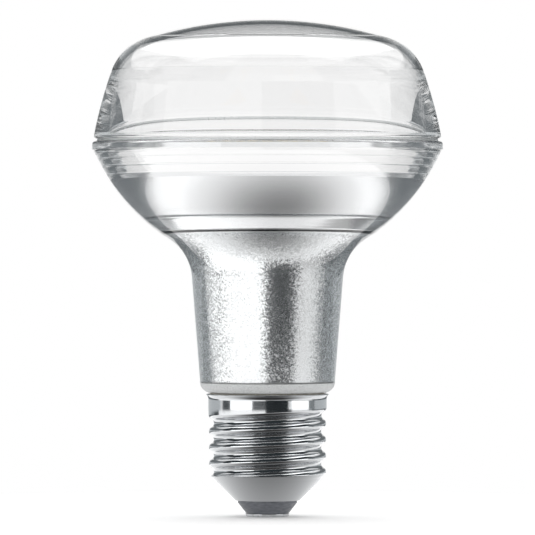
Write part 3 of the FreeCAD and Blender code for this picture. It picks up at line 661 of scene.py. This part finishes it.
# Screw cap: nickel-plated steel sheet, drawn to a cup with a flared collar and a cone, and rolled to
# its knuckle thread, which fades into both. It is cemented over the glass stub.
collar_radius = 13.35
flare_out = 0.4
flare_height = 1.0
cap_top_z = 27.55
sheet = 0.35
thread_major_radius = 13.2
thread_root_radius = 12.1
thread_pitch = 3.629
thread_crest_z = 21.0
thread_start_angle = 10.0
thread_start_sweep = 75.0
thread_blend = 0.12
thread_top_z = 25.2
thread_end_z = 8.2
cone_top_z = 8.4
cone_bottom = (7.35, 3.7)
rows_per_turn = 40
cone_step = 0.25
collar_step = 0.12
lip_step = 0.05

cone_slope = (thread_root_radius - cone_bottom[0]) / (cone_top_z - cone_bottom[1])
cone_lean = math.degrees(math.atan(cone_slope))
flare_radius = (flare_height**2 + flare_out**2) / (2 * flare_out)
flare_start_z = cap_top_z - sheet / 2 - flare_height
flare_centre = (collar_radius + flare_radius, flare_start_z)
flare_edge = (collar_radius + flare_out, flare_start_z + flare_height)
thread_end_radius = thread_root_radius + (thread_end_z - cone_top_z) * cone_slope


def knuckle(phase):
    """Radius of the rolled thread, from 0 at a crest to 0.5 at a root, in equal arcs."""
    depth = thread_major_radius - thread_root_radius
    half_pitch = thread_pitch / 2
    arc_radius = (half_pitch**2 + depth**2) / (4 * depth)
    along = abs(phase) * thread_pitch
    if along < half_pitch / 2:
        return thread_major_radius - arc_radius + math.sqrt(arc_radius**2 - along**2)
    back = half_pitch - along
    return thread_root_radius + arc_radius - math.sqrt(arc_radius**2 - back**2)


def eased(share):
    """A share from 0 to 1 that starts and ends softly."""
    held = min(max(share, 0.0), 1.0)
    return held * held * (3 - 2 * held)


def thread_radius(angle, z):
    """Outside radius of the cap at an angle and height: collar above, thread, cone below."""
    turns = (z - thread_crest_z) / thread_pitch - angle / 360
    root = knuckle(turns - round(turns))
    along = 360 * (math.floor(turns) + 0.5) + angle
    fade = eased((along - 180 - thread_start_angle) / thread_start_sweep)
    radius = root + (thread_major_radius - root) * fade
    radius += (collar_radius - thread_major_radius) * eased((z - thread_crest_z) / thread_pitch)
    cone = thread_root_radius + (z - cone_top_z) * cone_slope
    return (radius + cone - math.sqrt((radius - cone) ** 2 + thread_blend**2)) / 2


lip_end = moved(cone_bottom, unit(-cone_lean), -sheet)
lip_middle = moved(cone_bottom, unit(-cone_lean), -sheet / 2)
rim_end = towards(flare_centre, flare_edge, flare_radius + sheet)
rim_middle = towards(flare_centre, flare_edge, flare_radius + sheet / 2)
thread_rows = round((thread_top_z - thread_end_z) / thread_pitch * rows_per_turn)
thread_step = (thread_top_z - thread_end_z) / thread_rows

# The sheet as it is drawn, up its outside, over the flared rim and down its inside to the lip.
outline = Outline(*cone_bottom, cone_step)
outline.line(thread_end_radius, thread_end_z)
first_thread_row = len(outline.points)
outline.step = thread_step
outline.line(collar_radius, thread_top_z)
last_thread_row = len(outline.points)
outline.step = collar_step
outline.line(collar_radius, flare_start_z)
outline.arc(flare_centre, *flare_edge)
outline.step = lip_step
outline.arc(rim_middle, *moved(rim_middle, unit(90), sheet / 2))
outline.arc(rim_middle, *rim_end)
outline.step = collar_step
outline.arc(flare_centre, collar_radius - sheet, flare_start_z)
outline.line(collar_radius - sheet, thread_top_z)
first_inner_row = len(outline.points)
outline.step = thread_step
outline.line(thread_end_radius - sheet, thread_end_z)
last_inner_row = len(outline.points)
outline.step = cone_step
outline.line(*lip_end)
outline.step = lip_step
outline.arc(lip_middle, *moved(lip_middle, unit(-90), sheet / 2))
outline.arc(lip_middle, *cone_bottom)
outline.points.pop()
cap = lathe("screw_cap_shell", outline.points)

# The thread is rolled into the straight part, through the whole sheet.
for vertex in cap.data.vertices:
    row = vertex.index // turn_count
    inset = 0.0
    if first_inner_row <= row < last_inner_row:
        inset = sheet
    elif not first_thread_row <= row < last_thread_row:
        continue
    angle = 360 * (vertex.index % turn_count) / turn_count
    radius = thread_radius(angle, vertex.co.z / MM) - inset
    vertex.co.x = radius * math.cos(math.radians(angle)) * MM
    vertex.co.y = radius * math.sin(math.radians(angle)) * MM
cap.data.update()

# Polished nickel plate: a warm bright metal that mirrors the room in clear stripes, with a faint
# bloom in patches where it has been handled.
polished_nickel = finish("polished nickel plate", "#cdcfd1", Metallic=1.0)
bloom_size = 2.5
bloom_low = 0.3
bloom_high = 0.7
bright_gloss = 0.11
dull_gloss = 0.15
tree = polished_nickel.node_tree
place = add(tree, "ShaderNodeTexCoord").outputs["Object"]
bloom = add(tree, "ShaderNodeTexNoise", Vector=place, Scale=1 / (bloom_size * MM), Detail=3.0)
patches = {"From_Min": bloom_low, "From_Max": bloom_high, "To_Min": bright_gloss, "To_Max": dull_gloss}
gloss = add(tree, "ShaderNodeMapRange", Value=bloom, **patches)
feed(tree, tree.nodes["Principled BSDF"], Roughness=gloss)
cap.data.materials.append(polished_nickel)
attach(cap, "root")
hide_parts("cap_shell")


# Lens seal and cap cement: a bead of clear silicone squeezed between dome and bowl, and a ring of
# mineral cement baked hard between the glass stub and the cap.
pattern_low = 0.35
pattern_high = 0.65
gloss_swing = 0.15


def dress(node, material):
    """Gives a material to a CAD solid that stays as it is."""
    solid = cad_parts[node]
    solid.data.materials.clear()
    solid.data.materials.append(material)


def worked(name, colour, other, spot, relief=0.0, stretch=(1, 1, 1), **inputs):
    """A finish in two close tones, in spots of about a size in millimetres, longer where stretch is
    small. It is glossier in one tone than in the other and rises and falls by a fine relief."""
    material = finish(name, colour, **inputs)
    tree = material.node_tree
    shader = tree.nodes["Principled BSDF"]
    place = add(tree, "ShaderNodeTexCoord").outputs["Object"]
    laid = add(tree, "ShaderNodeMapping", Vector=place, Scale=stretch)
    pattern = add(tree, "ShaderNodeTexNoise", Vector=laid, Scale=1 / (spot * MM), Detail=3.0)
    ends = {"From_Min": pattern_low, "From_Max": pattern_high}
    share = add(tree, "ShaderNodeMapRange", Value=pattern, **ends)
    tones = {"A": linear(colour), "B": linear(other)}
    tone = add(tree, "ShaderNodeMix", {"data_type": "RGBA", "name": "two tones"}, Factor=share, **tones)
    ends["To_Min"] = (1 - gloss_swing) * inputs["Roughness"]
    ends["To_Max"] = (1 + gloss_swing) * inputs["Roughness"]
    gloss = add(tree, "ShaderNodeMapRange", Value=pattern, **ends)
    feed(tree, shader, Base_Color=tone, Roughness=gloss)
    if relief:
        bump = add(tree, "ShaderNodeBump", Distance=relief * MM, Height=pattern)
        feed(tree, shader, Normal=bump)
    return material


# Clear silicone: a soft shine and a slight cloudiness, which shows as a pale line round the lamp.
cast_clear = {"Roughness": 0.3, "Transmission_Weight": 0.9, "IOR": 1.41}
silicone = worked("clear silicone", "#f4f6f6", "#e4e8e8", spot=0.6, relief=0.01, **cast_clear)
dress("lens_seal", silicone)
# Baked cement: matt and grainy, as mineral powder is, in an uneven stone grey.
cement = worked("baked cement", "#d8d5cc", "#b4ae9f", spot=0.3, relief=0.06, Roughness=0.9)
dress("cap_cement", cement)


# Cap end: an insulating cup moulded of glass-filled resin and held in the cap's cone, and the base
# contact, stamped from nickel-plated sheet and riveted through the cup.
# Moulded resin: a dark satin grey with faint flow marks round the axis.
flow_marks = {"spot": 1.2, "relief": 0.02, "stretch": (1, 1, 3)}
resin = worked("moulded insulating resin", "#7f8288", "#6c6f76", **flow_marks, Roughness=0.38)
dress("cap_insulator", resin)
# Stamped nickel plate: bright, with a dull bloom and the small dents of the press.
contact = worked(
    "stamped nickel contact", "#cdcfd1", "#bfc0c1", spot=0.9, relief=0.02, Metallic=1.0, Roughness=0.2
)
dress("centre_contact", contact)


# Heat path: a spreader drawn from aluminium sheet and set in the bowl, a soft pad of silicone on
# glass cloth between it and the LED board, and three zinc-plated screws through all of them.
# Drawn aluminium: fine lines along the draw, which blur what it mirrors.
draw_lines = {"spot": 0.12, "relief": 0.012, "stretch": (1, 1, 0.04)}
spreader = worked("drawn aluminium", "#dadcdd", "#c9cbcd", **draw_lines, Metallic=1.0, Roughness=0.33)
dress("heat_spreader", spreader)


def threads(tree, pitch, direction):
    """Even rounded bands across a direction, a pitch in millimetres apart."""
    place = add(tree, "ShaderNodeTexCoord").outputs["Object"]
    # The wave node's bands stand pi / 10 apart at scale 1.
    scale = math.pi / 10 / (pitch * MM)
    wave = add(tree, "ShaderNodeTexWave", {"bands_direction": direction}, Vector=place, Scale=scale)
    return wave.outputs["Fac"]


def cloth(tree, pitch, warp, weft):
    """The relief of a woven cloth whose threads run across two directions."""
    first = threads(tree, pitch, warp)
    second = threads(tree, pitch, weft)
    return add(tree, "ShaderNodeMath", {"operation": "MAXIMUM"}, _0=first, _1=second)


# Silicone on glass cloth: matt grey rubber that shows the cloth's threads, 0.7 mm apart, in low relief.
pad_thread_pitch = 0.7
pad_thread_depth = 0.04
pad = worked("silicone pad on glass cloth", "#8f9396", "#7f8386", spot=0.5, Roughness=0.8)
tree = pad.node_tree
weave = cloth(tree, pad_thread_pitch, "X", "Y")
bump = add(tree, "ShaderNodeBump", Distance=pad_thread_depth * MM, Height=weave)
feed(tree, tree.nodes["Principled BSDF"], Normal=bump)
dress("thermal_pad", pad)
# Zinc plate: a cool light grey, slightly mottled.
zinc = worked(
    "zinc-plated steel", "#bfc1c4", "#a9abaf", spot=0.35, relief=0.01, Metallic=1.0, Roughness=0.28
)
dress("board_screws", zinc)


# Light source: an aluminium board under printed white resist, with two rings of copper track below
# it, and on the rings the moulded packages, whose wells are filled with phosphor powder in silicone.
track_radii = (14.3, 7.6)
track_half_width = 1.0
track_height = 0.035
# Printed resist: a glossy off-white skin that stands up over the tracks and is a little greyer there.
resist = worked("white solder resist", "#f1f1ed", "#e7e8e2", spot=0.4, Roughness=0.35)
tree = resist.node_tree
place = add(tree, "ShaderNodeTexCoord").outputs["Object"]
flat = add(tree, "ShaderNodeVectorMath", {"operation": "MULTIPLY"}, _0=place, _1=(1, 1, 0))
radius = add(tree, "ShaderNodeVectorMath", {"operation": "LENGTH"}, _0=flat)
rings = []
for middle in track_radii:
    reach = {"_1": middle * MM, "_2": track_half_width * MM}
    rings.append(add(tree, "ShaderNodeMath", {"operation": "COMPARE"}, _0=radius, **reach))
tracks = add(tree, "ShaderNodeMath", {"operation": "MAXIMUM"}, _0=rings[0], _1=rings[1])
raised = {"A": tree.nodes["two tones"], "B": linear("#dfe0d8")}
tone = add(tree, "ShaderNodeMix", {"data_type": "RGBA"}, Factor=tracks, **raised)
bump = add(tree, "ShaderNodeBump", Distance=track_height * MM, Height=tracks)
feed(tree, tree.nodes["Principled BSDF"], Base_Color=tone, Normal=bump)
dress("led_board", resist)
# Moulded white resin: smooth and bright, so that it throws the light out of the well.
package = worked("white moulded package", "#f6f6f2", "#edede6", spot=0.3, relief=0.004, Roughness=0.3)
dress("led_packages", package)
# Phosphor: an egg-yellow powder that shows its grain under a skin of clear silicone.
phosphor = worked(
    "phosphor in silicone", "#f4cd50", "#e3ac2e", spot=0.09, relief=0.01, Roughness=0.3, Coat_Weight=0.5
)
dress("led_phosphor", phosphor)


# Header and housing: the pin header under the LED board and the driver's housing are nylon
# mouldings, pressed into the spreader. Pins and wires are brass and copper, dipped in tin.
# Nylon: a soft white with a low shine.
nylon = worked("white nylon", "#f0f0ec", "#e6e6e0", spot=0.5, relief=0.008, Roughness=0.35)
dress("pin_header", nylon)
# Dipped tin: a grey metal with slow waves along the wire.
dip_waves = {"spot": 0.3, "relief": 0.012, "stretch": (1, 1, 0.3)}
tinned = worked("tinned metal", "#d8d8d4", "#c2c2bd", **dip_waves, Metallic=1.0, Roughness=0.24)
for node in ("header_pins", "contact_wire", "shell_wire"):
    dress(node, tinned)
# Glass-filled nylon: more matt, and faintly streaked along its flow by the fibres.
fibre_streaks = {"spot": 0.7, "relief": 0.02, "stretch": (1, 1, 0.25)}
filled_nylon = worked("glass-filled nylon", "#efefec", "#e2e3df", **fibre_streaks, Roughness=0.5)
dress("driver_housing", filled_nylon)


# Driver board: a laminate of glass cloth in resin, cut from a panel, with etched copper under green
# resist on both faces. It stands upright in the housing's grooves.
copper_length = 4.2
copper_height = 1.9
copper_gap = 0.3
board_thread_pitch = 0.5
board_thread_depth = 0.008
face_low = 0.4
face_high = 0.6
# Green resist: glossy, lighter over the copper areas than over the gaps, with the cloth's weave just
# showing. The cut edges are the bare laminate's straw colour.
laminate = worked("green resist on laminate", "#24583a", "#204f34", spot=0.4, Roughness=0.35)
tree = laminate.node_tree
place = add(tree, "ShaderNodeTexCoord").outputs["Object"]
laid = add(tree, "ShaderNodeMapping", Vector=place, Rotation=(math.radians(90), 0, 0))
copper = add(
    tree,
    "ShaderNodeTexBrick",
    Vector=laid,
    Color1=linear("#34764e"),
    Color2=linear("#2f6e48"),
    Mortar=linear("#24583a"),
    Scale=1 / MM,
    Mortar_Size=copper_gap,
    Brick_Width=copper_length,
    Row_Height=copper_height,
)
facing = add(tree, "ShaderNodeNewGeometry").outputs["Normal"]
across = add(tree, "ShaderNodeSeparateXYZ", Vector=facing).outputs["Y"]
front = add(tree, "ShaderNodeMath", {"operation": "ABSOLUTE"}, _0=across)
covered = add(tree, "ShaderNodeMapRange", Value=front, From_Min=face_low, From_Max=face_high)
skin = {"A": linear("#c4b27c"), "B": copper}
tone = add(tree, "ShaderNodeMix", {"data_type": "RGBA"}, Factor=covered, **skin)
weave = cloth(tree, board_thread_pitch, "X", "Z")
bump = add(tree, "ShaderNodeBump", Distance=board_thread_depth * MM, Height=weave)
feed(tree, tree.nodes["Principled BSDF"], Base_Color=tone, Normal=bump)
dress("driver_board", laminate)


# Fusible resistor: a ceramic rod wound with wire and dipped in lacquer, with its colour bands and
# two tinned wires bent down into the board.
band_half_width = 0.3
rod_half_length = 3.76
mask_edge = 0.02
# Dipped lacquer: a glossy grey-blue with soft runs, bright tin on the wires at both ends.
lacquer = worked("fusible resistor lacquer", "#6f8fa0", "#65849a", spot=0.5, relief=0.02, Roughness=0.3)
tree = lacquer.node_tree
place = add(tree, "ShaderNodeTexCoord").outputs["Object"]
along = add(tree, "ShaderNodeSeparateXYZ", Vector=place).outputs["X"]
tone = tree.nodes["two tones"]
for middle, code in ((-2.3, "#6b3f22"), (-1.1, "#1b1b1b"), (0.1, "#1b1b1b"), (2.3, "#c8a24a")):
    reach = {"_1": middle * MM, "_2": band_half_width * MM}
    band = add(tree, "ShaderNodeMath", {"operation": "COMPARE"}, _0=along, **reach)
    tone = add(tree, "ShaderNodeMix", {"data_type": "RGBA"}, Factor=band, A=tone, B=linear(code))
from_middle = add(tree, "ShaderNodeMath", {"operation": "ABSOLUTE"}, _0=along)
ends = {"From_Min": rod_half_length * MM, "From_Max": (rod_half_length + mask_edge) * MM}
wire = add(tree, "ShaderNodeMapRange", Value=from_middle, **ends)
tone = add(tree, "ShaderNodeMix", {"data_type": "RGBA"}, Factor=wire, A=tone, B=linear("#d8d8d4"))
feed(tree, tree.nodes["Principled BSDF"], Base_Color=tone, Metallic=wire)
dress("fuse_resistor", lacquer)


# Film capacitor: wound metal film in a moulded box, sealed with resin from below.
# Moulded box: a satin red-brown plastic with barely visible flow.
film = worked("moulded capacitor box", "#8f3626", "#7e2e20", spot=0.4, relief=0.01, Roughness=0.35)
dress("film_capacitor", film)


# Bulk capacitor: an aluminium can, rolled shut on a rubber plug, in a sleeve of shrunk plastic that
# leaves the can's top bare. A pale stripe on the sleeve marks the negative side.
can_axis_y = 2.1
can_top_z = 44.0
can_rim_radius = 3.3
can_edge = 0.05
stripe_x = 3.0
# Shrunk sleeve: glossy black with faint folds up the can. The bare top is bright rolled aluminium.
sleeve_folds = {"spot": 0.8, "relief": 0.01, "stretch": (1, 1, 0.3)}
sleeve = worked("shrunk sleeve on a can", "#1a1c21", "#24272d", **sleeve_folds, Roughness=0.3)
tree = sleeve.node_tree
place = add(tree, "ShaderNodeTexCoord").outputs["Object"]
from_axis = add(tree, "ShaderNodeVectorMath", {"operation": "ADD"}, _0=place, _1=(0, -can_axis_y * MM, 0))
flat = add(tree, "ShaderNodeVectorMath", {"operation": "MULTIPLY"}, _0=from_axis, _1=(1, 1, 0))
radius = add(tree, "ShaderNodeVectorMath", {"operation": "LENGTH"}, _0=flat)
along = add(tree, "ShaderNodeSeparateXYZ", Vector=place).outputs
ends = {"From_Min": stripe_x * MM, "From_Max": (stripe_x + can_edge) * MM}
stripe = add(tree, "ShaderNodeMapRange", Value=along["X"], **ends)
striped = {"A": tree.nodes["two tones"], "B": linear("#b9bdc2")}
tone = add(tree, "ShaderNodeMix", {"data_type": "RGBA"}, Factor=stripe, **striped)
ends = {"From_Min": can_rim_radius * MM, "From_Max": (can_rim_radius - can_edge) * MM}
inside_rim = add(tree, "ShaderNodeMapRange", Value=radius, **ends)
ends = {"From_Min": (can_top_z - 2 * can_edge) * MM, "From_Max": (can_top_z - can_edge) * MM}
at_top = add(tree, "ShaderNodeMapRange", Value=along["Z"], **ends)
bare = add(tree, "ShaderNodeMath", {"operation": "MULTIPLY"}, _0=inside_rim, _1=at_top)
tone = add(tree, "ShaderNodeMix", {"data_type": "RGBA"}, Factor=bare, A=tone, B=linear("#d5d7d9"))
feed(tree, tree.nodes["Principled BSDF"], Base_Color=tone, Metallic=bare)
dress("bulk_capacitor", sleeve)


# Transformer: two halves of pressed and sintered ferrite, closed round a moulded bobbin that is
# wound with enamelled copper wire in even layers.
# Sintered ferrite: a dull charcoal stone with fine speckles.
ferrite = worked("sintered ferrite", "#2b2b2e", "#3b3b3f", spot=0.2, relief=0.02, Roughness=0.7)
dress("transformer_core", ferrite)
# Moulded bobbin: satin black plastic.
bobbin = worked("moulded bobbin", "#202021", "#29292a", spot=0.6, relief=0.008, Roughness=0.4)
dress("transformer_bobbin", bobbin)
# Enamelled wire: glossy red copper in turns that lie side by side, with painted shade in the grooves between
# them.
turn_pitch = 0.28
turn_depth = 0.08
winding = worked("enamelled copper wire", "#b8642f", "#a85627", spot=0.9, Roughness=0.28, Metallic=1.0)
tree = winding.node_tree
turns = threads(tree, turn_pitch, "Z")
# Painted shade: a deep brown where the bands dip, in the grooves between the turns.
groove_shade = {"A": linear("#5e2c13"), "B": tree.nodes["two tones"]}
tone = add(tree, "ShaderNodeMix", {"data_type": "RGBA"}, Factor=turns, **groove_shade)
bump = add(tree, "ShaderNodeBump", Distance=turn_depth * MM, Height=turns)
feed(tree, tree.nodes["Principled BSDF"], Base_Color=tone, Normal=bump)
dress("transformer_winding", winding)


# Surface parts: rectifier, diode and driver chip are silicon in moulded epoxy, and the resistors are
# chips of white alumina with a glazed film. All are soldered flat on the driver board.
# Black epoxy: matt, with the fine skin of a blasted mould.
epoxy = worked("black epoxy", "#161618", "#1f1f22", spot=0.1, relief=0.006, Roughness=0.55)
for node in ("bridge_rectifier", "output_diode"):
    dress(node, epoxy)
# The driver chip's epoxy ends at its sides, where its leads come out in bright tin.
chip_half_width = 1.96
leaded = worked("black epoxy with tinned leads", "#161618", "#1f1f22", spot=0.1, relief=0.006, Roughness=0.5)
tree = leaded.node_tree
place = add(tree, "ShaderNodeTexCoord").outputs["Object"]
along = add(tree, "ShaderNodeSeparateXYZ", Vector=place).outputs["X"]
from_middle = add(tree, "ShaderNodeMath", {"operation": "ABSOLUTE"}, _0=along)
ends = {"From_Min": chip_half_width * MM, "From_Max": (chip_half_width + mask_edge) * MM}
lead = add(tree, "ShaderNodeMapRange", Value=from_middle, **ends)
tinny = {"A": tree.nodes["two tones"], "B": linear("#d8d8d4")}
tone = add(tree, "ShaderNodeMix", {"data_type": "RGBA"}, Factor=lead, **tinny)
feed(tree, tree.nodes["Principled BSDF"], Base_Color=tone, Metallic=lead)
dress("driver_chip", leaded)
# Glazed alumina: shiny black on the face, and porcelain white where the chip is snapped from its sheet.
glaze = worked("glazed alumina", "#18181a", "#222226", spot=0.15, relief=0.004, Roughness=0.3)
tree = glaze.node_tree
facing = add(tree, "ShaderNodeNewGeometry").outputs["Normal"]
across = add(tree, "ShaderNodeSeparateXYZ", Vector=facing).outputs["Y"]
front = add(tree, "ShaderNodeMath", {"operation": "ABSOLUTE"}, _0=across)
covered = add(tree, "ShaderNodeMapRange", Value=front, From_Min=face_low, From_Max=face_high)
glazed = {"A": linear("#e6e4dd"), "B": tree.nodes["two tones"]}
tone = add(tree, "ShaderNodeMix", {"data_type": "RGBA"}, Factor=covered, **glazed)
feed(tree, tree.nodes["Principled BSDF"], Base_Color=tone)
dress("chip_resistors", glaze)
